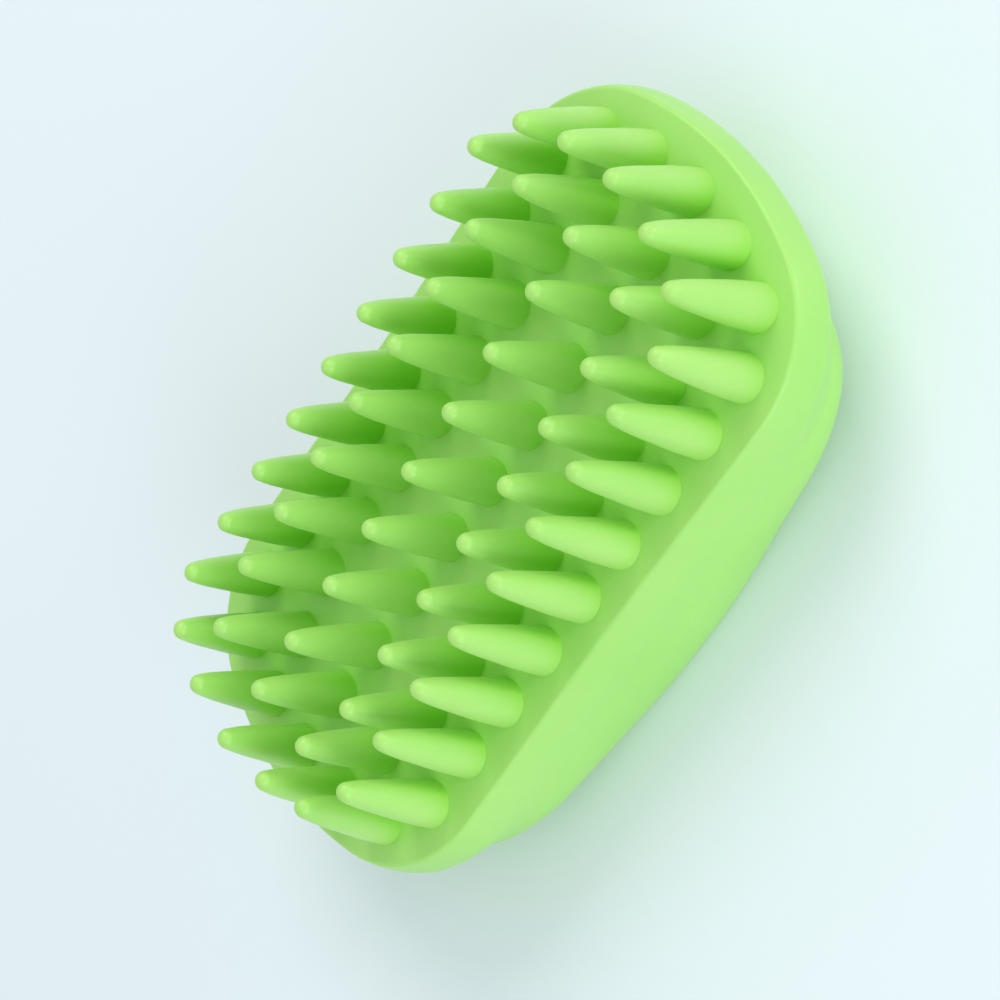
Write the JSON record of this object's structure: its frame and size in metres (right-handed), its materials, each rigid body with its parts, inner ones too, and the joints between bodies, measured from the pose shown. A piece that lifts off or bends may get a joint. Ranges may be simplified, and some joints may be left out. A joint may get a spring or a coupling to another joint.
{
  "type": "scalp massager brush",
  "caption": "Palm-held silicone scalp massager brush: rounded oblong grip body with an overhanging rim and a flat face of tapered round-tipped bristles that bend at their roots.",
  "frame": {"origin": "centre of the flat back that the brush rests on", "axes": "+X along the length, +Y across the width, +Z out of the bristle face"},
  "size_m": [0.0966, 0.0528, 0.0323],
  "materials": {
    "silicone_body": "soft satin moulded silicone",
    "silicone_bristle": "soft satin moulded silicone"
  },
  "bodies": {
    "grip": {"grip_body": "silicone_body"},
    "bristle_outer_left_1": {"bristle_outer_left_1": "silicone_bristle"},
    "bristle_outer_left_2": {"bristle_outer_left_2": "silicone_bristle"},
    "bristle_outer_left_3": {"bristle_outer_left_3": "silicone_bristle"},
    "bristle_outer_left_4": {"bristle_outer_left_4": "silicone_bristle"},
    "bristle_outer_left_5": {"bristle_outer_left_5": "silicone_bristle"},
    "bristle_outer_left_6": {"bristle_outer_left_6": "silicone_bristle"},
    "bristle_outer_left_7": {"bristle_outer_left_7": "silicone_bristle"},
    "bristle_outer_left_8": {"bristle_outer_left_8": "silicone_bristle"},
    "bristle_outer_left_9": {"bristle_outer_left_9": "silicone_bristle"},
    "bristle_inner_left_1": {"bristle_inner_left_1": "silicone_bristle"},
    "bristle_inner_left_2": {"bristle_inner_left_2": "silicone_bristle"},
    "bristle_inner_left_3": {"bristle_inner_left_3": "silicone_bristle"},
    "bristle_inner_left_4": {"bristle_inner_left_4": "silicone_bristle"},
    "bristle_inner_left_5": {"bristle_inner_left_5": "silicone_bristle"},
    "bristle_inner_left_6": {"bristle_inner_left_6": "silicone_bristle"},
    "bristle_inner_left_7": {"bristle_inner_left_7": "silicone_bristle"},
    "bristle_outer_right_1": {"bristle_outer_right_1": "silicone_bristle"},
    "bristle_outer_right_2": {"bristle_outer_right_2": "silicone_bristle"},
    "bristle_outer_right_3": {"bristle_outer_right_3": "silicone_bristle"},
    "bristle_outer_right_4": {"bristle_outer_right_4": "silicone_bristle"},
    "bristle_outer_right_5": {"bristle_outer_right_5": "silicone_bristle"},
    "bristle_outer_right_6": {"bristle_outer_right_6": "silicone_bristle"},
    "bristle_outer_right_7": {"bristle_outer_right_7": "silicone_bristle"},
    "bristle_outer_right_8": {"bristle_outer_right_8": "silicone_bristle"},
    "bristle_outer_right_9": {"bristle_outer_right_9": "silicone_bristle"},
    "bristle_inner_right_1": {"bristle_inner_right_1": "silicone_bristle"},
    "bristle_inner_right_2": {"bristle_inner_right_2": "silicone_bristle"},
    "bristle_inner_right_3": {"bristle_inner_right_3": "silicone_bristle"},
    "bristle_inner_right_4": {"bristle_inner_right_4": "silicone_bristle"},
    "bristle_inner_right_5": {"bristle_inner_right_5": "silicone_bristle"},
    "bristle_inner_right_6": {"bristle_inner_right_6": "silicone_bristle"},
    "bristle_inner_right_7": {"bristle_inner_right_7": "silicone_bristle"},
    "bristle_outer_front_1": {"bristle_outer_front_1": "silicone_bristle"},
    "bristle_outer_front_2": {"bristle_outer_front_2": "silicone_bristle"},
    "bristle_outer_front_3": {"bristle_outer_front_3": "silicone_bristle"},
    "bristle_outer_front_4": {"bristle_outer_front_4": "silicone_bristle"},
    "bristle_outer_front_5": {"bristle_outer_front_5": "silicone_bristle"},
    "bristle_inner_front_1": {"bristle_inner_front_1": "silicone_bristle"},
    "bristle_inner_front_2": {"bristle_inner_front_2": "silicone_bristle"},
    "bristle_inner_front_3": {"bristle_inner_front_3": "silicone_bristle"},
    "bristle_outer_rear_1": {"bristle_outer_rear_1": "silicone_bristle"},
    "bristle_outer_rear_2": {"bristle_outer_rear_2": "silicone_bristle"},
    "bristle_outer_rear_3": {"bristle_outer_rear_3": "silicone_bristle"},
    "bristle_outer_rear_4": {"bristle_outer_rear_4": "silicone_bristle"},
    "bristle_outer_rear_5": {"bristle_outer_rear_5": "silicone_bristle"},
    "bristle_inner_rear_1": {"bristle_inner_rear_1": "silicone_bristle"},
    "bristle_inner_rear_2": {"bristle_inner_rear_2": "silicone_bristle"},
    "bristle_inner_rear_3": {"bristle_inner_rear_3": "silicone_bristle"},
    "bristle_centre_1": {"bristle_centre_1": "silicone_bristle"},
    "bristle_centre_2": {"bristle_centre_2": "silicone_bristle"},
    "bristle_centre_3": {"bristle_centre_3": "silicone_bristle"},
    "bristle_centre_4": {"bristle_centre_4": "silicone_bristle"},
    "bristle_centre_5": {"bristle_centre_5": "silicone_bristle"},
    "bristle_centre_6": {"bristle_centre_6": "silicone_bristle"},
    "bristle_centre_7": {"bristle_centre_7": "silicone_bristle"}
  },
  "joints": [
    {"name": "bend_outer_left_1", "type": "hinge", "parent": "grip", "child": "bristle_outer_left_1", "pos_m": [-0.032, 0.0198, 0.0183], "axis": [0, 1, 0], "range_deg": [-15, 15], "stiffness_Nm_per_rad": 0.008},
    {"name": "bend_outer_left_2", "type": "hinge", "parent": "grip", "child": "bristle_outer_left_2", "pos_m": [-0.024, 0.0198, 0.0183], "axis": [0, 1, 0], "range_deg": [-15, 15], "stiffness_Nm_per_rad": 0.008},
    {"name": "bend_outer_left_3", "type": "hinge", "parent": "grip", "child": "bristle_outer_left_3", "pos_m": [-0.016, 0.0198, 0.0183], "axis": [0, 1, 0], "range_deg": [-15, 15], "stiffness_Nm_per_rad": 0.008},
    {"name": "bend_outer_left_4", "type": "hinge", "parent": "grip", "child": "bristle_outer_left_4", "pos_m": [-0.008, 0.0198, 0.0183], "axis": [0, 1, 0], "range_deg": [-15, 15], "stiffness_Nm_per_rad": 0.008},
    {"name": "bend_outer_left_5", "type": "hinge", "parent": "grip", "child": "bristle_outer_left_5", "pos_m": [0, 0.0198, 0.0183], "axis": [0, 1, 0], "range_deg": [-15, 15], "stiffness_Nm_per_rad": 0.008},
    {"name": "bend_outer_left_6", "type": "hinge", "parent": "grip", "child": "bristle_outer_left_6", "pos_m": [0.008, 0.0198, 0.0183], "axis": [0, 1, 0], "range_deg": [-15, 15], "stiffness_Nm_per_rad": 0.008},
    {"name": "bend_outer_left_7", "type": "hinge", "parent": "grip", "child": "bristle_outer_left_7", "pos_m": [0.016, 0.0198, 0.0183], "axis": [0, 1, 0], "range_deg": [-15, 15], "stiffness_Nm_per_rad": 0.008},
    {"name": "bend_outer_left_8", "type": "hinge", "parent": "grip", "child": "bristle_outer_left_8", "pos_m": [0.024, 0.0198, 0.0183], "axis": [0, 1, 0], "range_deg": [-15, 15], "stiffness_Nm_per_rad": 0.008},
    {"name": "bend_outer_left_9", "type": "hinge", "parent": "grip", "child": "bristle_outer_left_9", "pos_m": [0.032, 0.0198, 0.0183], "axis": [0, 1, 0], "range_deg": [-15, 15], "stiffness_Nm_per_rad": 0.008},
    {"name": "bend_inner_left_1", "type": "hinge", "parent": "grip", "child": "bristle_inner_left_1", "pos_m": [-0.02475, 0.012, 0.0183], "axis": [0, 1, 0], "range_deg": [-15, 15], "stiffness_Nm_per_rad": 0.008},
    {"name": "bend_inner_left_2", "type": "hinge", "parent": "grip", "child": "bristle_inner_left_2", "pos_m": [-0.0165, 0.012, 0.0183], "axis": [0, 1, 0], "range_deg": [-15, 15], "stiffness_Nm_per_rad": 0.008},
    {"name": "bend_inner_left_3", "type": "hinge", "parent": "grip", "child": "bristle_inner_left_3", "pos_m": [-0.00825, 0.012, 0.0183], "axis": [0, 1, 0], "range_deg": [-15, 15], "stiffness_Nm_per_rad": 0.008},
    {"name": "bend_inner_left_4", "type": "hinge", "parent": "grip", "child": "bristle_inner_left_4", "pos_m": [0, 0.012, 0.0183], "axis": [0, 1, 0], "range_deg": [-15, 15], "stiffness_Nm_per_rad": 0.008},
    {"name": "bend_inner_left_5", "type": "hinge", "parent": "grip", "child": "bristle_inner_left_5", "pos_m": [0.00825, 0.012, 0.0183], "axis": [0, 1, 0], "range_deg": [-15, 15], "stiffness_Nm_per_rad": 0.008},
    {"name": "bend_inner_left_6", "type": "hinge", "parent": "grip", "child": "bristle_inner_left_6", "pos_m": [0.0165, 0.012, 0.0183], "axis": [0, 1, 0], "range_deg": [-15, 15], "stiffness_Nm_per_rad": 0.008},
    {"name": "bend_inner_left_7", "type": "hinge", "parent": "grip", "child": "bristle_inner_left_7", "pos_m": [0.02475, 0.012, 0.0183], "axis": [0, 1, 0], "range_deg": [-15, 15], "stiffness_Nm_per_rad": 0.008},
    {"name": "bend_outer_right_1", "type": "hinge", "parent": "grip", "child": "bristle_outer_right_1", "pos_m": [-0.032, -0.0198, 0.0183], "axis": [0, 1, 0], "range_deg": [-15, 15], "stiffness_Nm_per_rad": 0.008},
    {"name": "bend_outer_right_2", "type": "hinge", "parent": "grip", "child": "bristle_outer_right_2", "pos_m": [-0.024, -0.0198, 0.0183], "axis": [0, 1, 0], "range_deg": [-15, 15], "stiffness_Nm_per_rad": 0.008},
    {"name": "bend_outer_right_3", "type": "hinge", "parent": "grip", "child": "bristle_outer_right_3", "pos_m": [-0.016, -0.0198, 0.0183], "axis": [0, 1, 0], "range_deg": [-15, 15], "stiffness_Nm_per_rad": 0.008},
    {"name": "bend_outer_right_4", "type": "hinge", "parent": "grip", "child": "bristle_outer_right_4", "pos_m": [-0.008, -0.0198, 0.0183], "axis": [0, 1, 0], "range_deg": [-15, 15], "stiffness_Nm_per_rad": 0.008},
    {"name": "bend_outer_right_5", "type": "hinge", "parent": "grip", "child": "bristle_outer_right_5", "pos_m": [0, -0.0198, 0.0183], "axis": [0, 1, 0], "range_deg": [-15, 15], "stiffness_Nm_per_rad": 0.008},
    {"name": "bend_outer_right_6", "type": "hinge", "parent": "grip", "child": "bristle_outer_right_6", "pos_m": [0.008, -0.0198, 0.0183], "axis": [0, 1, 0], "range_deg": [-15, 15], "stiffness_Nm_per_rad": 0.008},
    {"name": "bend_outer_right_7", "type": "hinge", "parent": "grip", "child": "bristle_outer_right_7", "pos_m": [0.016, -0.0198, 0.0183], "axis": [0, 1, 0], "range_deg": [-15, 15], "stiffness_Nm_per_rad": 0.008},
    {"name": "bend_outer_right_8", "type": "hinge", "parent": "grip", "child": "bristle_outer_right_8", "pos_m": [0.024, -0.0198, 0.0183], "axis": [0, 1, 0], "range_deg": [-15, 15], "stiffness_Nm_per_rad": 0.008},
    {"name": "bend_outer_right_9", "type": "hinge", "parent": "grip", "child": "bristle_outer_right_9", "pos_m": [0.032, -0.0198, 0.0183], "axis": [0, 1, 0], "range_deg": [-15, 15], "stiffness_Nm_per_rad": 0.008},
    {"name": "bend_inner_right_1", "type": "hinge", "parent": "grip", "child": "bristle_inner_right_1", "pos_m": [-0.02475, -0.012, 0.0183], "axis": [0, 1, 0], "range_deg": [-15, 15], "stiffness_Nm_per_rad": 0.008},
    {"name": "bend_inner_right_2", "type": "hinge", "parent": "grip", "child": "bristle_inner_right_2", "pos_m": [-0.0165, -0.012, 0.0183], "axis": [0, 1, 0], "range_deg": [-15, 15], "stiffness_Nm_per_rad": 0.008},
    {"name": "bend_inner_right_3", "type": "hinge", "parent": "grip", "child": "bristle_inner_right_3", "pos_m": [-0.00825, -0.012, 0.0183], "axis": [0, 1, 0], "range_deg": [-15, 15], "stiffness_Nm_per_rad": 0.008},
    {"name": "bend_inner_right_4", "type": "hinge", "parent": "grip", "child": "bristle_inner_right_4", "pos_m": [0, -0.012, 0.0183], "axis": [0, 1, 0], "range_deg": [-15, 15], "stiffness_Nm_per_rad": 0.008},
    {"name": "bend_inner_right_5", "type": "hinge", "parent": "grip", "child": "bristle_inner_right_5", "pos_m": [0.00825, -0.012, 0.0183], "axis": [0, 1, 0], "range_deg": [-15, 15], "stiffness_Nm_per_rad": 0.008},
    {"name": "bend_inner_right_6", "type": "hinge", "parent": "grip", "child": "bristle_inner_right_6", "pos_m": [0.0165, -0.012, 0.0183], "axis": [0, 1, 0], "range_deg": [-15, 15], "stiffness_Nm_per_rad": 0.008},
    {"name": "bend_inner_right_7", "type": "hinge", "parent": "grip", "child": "bristle_inner_right_7", "pos_m": [0.02475, -0.012, 0.0183], "axis": [0, 1, 0], "range_deg": [-15, 15], "stiffness_Nm_per_rad": 0.008},
    {"name": "bend_outer_front_1", "type": "hinge", "parent": "grip", "child": "bristle_outer_front_1", "pos_m": [0.0386, 0.0159, 0.0183], "axis": [0, 1, 0], "range_deg": [-15, 15], "stiffness_Nm_per_rad": 0.008},
    {"name": "bend_outer_front_2", "type": "hinge", "parent": "grip", "child": "bristle_outer_front_2", "pos_m": [0.04115, 0.00825, 0.0183], "axis": [0, 1, 0], "range_deg": [-15, 15], "stiffness_Nm_per_rad": 0.008},
    {"name": "bend_outer_front_3", "type": "hinge", "parent": "grip", "child": "bristle_outer_front_3", "pos_m": [0.0421, 0, 0.0183], "axis": [0, 1, 0], "range_deg": [-15, 15], "stiffness_Nm_per_rad": 0.008},
    {"name": "bend_outer_front_4", "type": "hinge", "parent": "grip", "child": "bristle_outer_front_4", "pos_m": [0.04115, -0.00825, 0.0183], "axis": [0, 1, 0], "range_deg": [-15, 15], "stiffness_Nm_per_rad": 0.008},
    {"name": "bend_outer_front_5", "type": "hinge", "parent": "grip", "child": "bristle_outer_front_5", "pos_m": [0.0386, -0.0159, 0.0183], "axis": [0, 1, 0], "range_deg": [-15, 15], "stiffness_Nm_per_rad": 0.008},
    {"name": "bend_inner_front_1", "type": "hinge", "parent": "grip", "child": "bristle_inner_front_1", "pos_m": [0.03285, 0.00985, 0.0183], "axis": [0, 1, 0], "range_deg": [-15, 15], "stiffness_Nm_per_rad": 0.008},
    {"name": "bend_inner_front_2", "type": "hinge", "parent": "grip", "child": "bristle_inner_front_2", "pos_m": [0.0334, 0, 0.0183], "axis": [0, 1, 0], "range_deg": [-15, 15], "stiffness_Nm_per_rad": 0.008},
    {"name": "bend_inner_front_3", "type": "hinge", "parent": "grip", "child": "bristle_inner_front_3", "pos_m": [0.03285, -0.00985, 0.0183], "axis": [0, 1, 0], "range_deg": [-15, 15], "stiffness_Nm_per_rad": 0.008},
    {"name": "bend_outer_rear_1", "type": "hinge", "parent": "grip", "child": "bristle_outer_rear_1", "pos_m": [-0.0386, 0.0159, 0.0183], "axis": [0, 1, 0], "range_deg": [-15, 15], "stiffness_Nm_per_rad": 0.008},
    {"name": "bend_outer_rear_2", "type": "hinge", "parent": "grip", "child": "bristle_outer_rear_2", "pos_m": [-0.04115, 0.00825, 0.0183], "axis": [0, 1, 0], "range_deg": [-15, 15], "stiffness_Nm_per_rad": 0.008},
    {"name": "bend_outer_rear_3", "type": "hinge", "parent": "grip", "child": "bristle_outer_rear_3", "pos_m": [-0.0421, 0, 0.0183], "axis": [0, 1, 0], "range_deg": [-15, 15], "stiffness_Nm_per_rad": 0.008},
    {"name": "bend_outer_rear_4", "type": "hinge", "parent": "grip", "child": "bristle_outer_rear_4", "pos_m": [-0.04115, -0.00825, 0.0183], "axis": [0, 1, 0], "range_deg": [-15, 15], "stiffness_Nm_per_rad": 0.008},
    {"name": "bend_outer_rear_5", "type": "hinge", "parent": "grip", "child": "bristle_outer_rear_5", "pos_m": [-0.0386, -0.0159, 0.0183], "axis": [0, 1, 0], "range_deg": [-15, 15], "stiffness_Nm_per_rad": 0.008},
    {"name": "bend_inner_rear_1", "type": "hinge", "parent": "grip", "child": "bristle_inner_rear_1", "pos_m": [-0.03285, 0.00985, 0.0183], "axis": [0, 1, 0], "range_deg": [-15, 15], "stiffness_Nm_per_rad": 0.008},
    {"name": "bend_inner_rear_2", "type": "hinge", "parent": "grip", "child": "bristle_inner_rear_2", "pos_m": [-0.0334, 0, 0.0183], "axis": [0, 1, 0], "range_deg": [-15, 15], "stiffness_Nm_per_rad": 0.008},
    {"name": "bend_inner_rear_3", "type": "hinge", "parent": "grip", "child": "bristle_inner_rear_3", "pos_m": [-0.03285, -0.00985, 0.0183], "axis": [0, 1, 0], "range_deg": [-15, 15], "stiffness_Nm_per_rad": 0.008},
    {"name": "bend_centre_1", "type": "hinge", "parent": "grip", "child": "bristle_centre_1", "pos_m": [-0.0255, 0, 0.0183], "axis": [0, 1, 0], "range_deg": [-15, 15], "stiffness_Nm_per_rad": 0.008},
    {"name": "bend_centre_2", "type": "hinge", "parent": "grip", "child": "bristle_centre_2", "pos_m": [-0.017, 0, 0.0183], "axis": [0, 1, 0], "range_deg": [-15, 15], "stiffness_Nm_per_rad": 0.008},
    {"name": "bend_centre_3", "type": "hinge", "parent": "grip", "child": "bristle_centre_3", "pos_m": [-0.0085, 0, 0.0183], "axis": [0, 1, 0], "range_deg": [-15, 15], "stiffness_Nm_per_rad": 0.008},
    {"name": "bend_centre_4", "type": "hinge", "parent": "grip", "child": "bristle_centre_4", "pos_m": [0, 0, 0.0183], "axis": [0, 1, 0], "range_deg": [-15, 15], "stiffness_Nm_per_rad": 0.008},
    {"name": "bend_centre_5", "type": "hinge", "parent": "grip", "child": "bristle_centre_5", "pos_m": [0.0085, 0, 0.0183], "axis": [0, 1, 0], "range_deg": [-15, 15], "stiffness_Nm_per_rad": 0.008},
    {"name": "bend_centre_6", "type": "hinge", "parent": "grip", "child": "bristle_centre_6", "pos_m": [0.017, 0, 0.0183], "axis": [0, 1, 0], "range_deg": [-15, 15], "stiffness_Nm_per_rad": 0.008},
    {"name": "bend_centre_7", "type": "hinge", "parent": "grip", "child": "bristle_centre_7", "pos_m": [0.0255, 0, 0.0183], "axis": [0, 1, 0], "range_deg": [-15, 15], "stiffness_Nm_per_rad": 0.008}
  ]
}
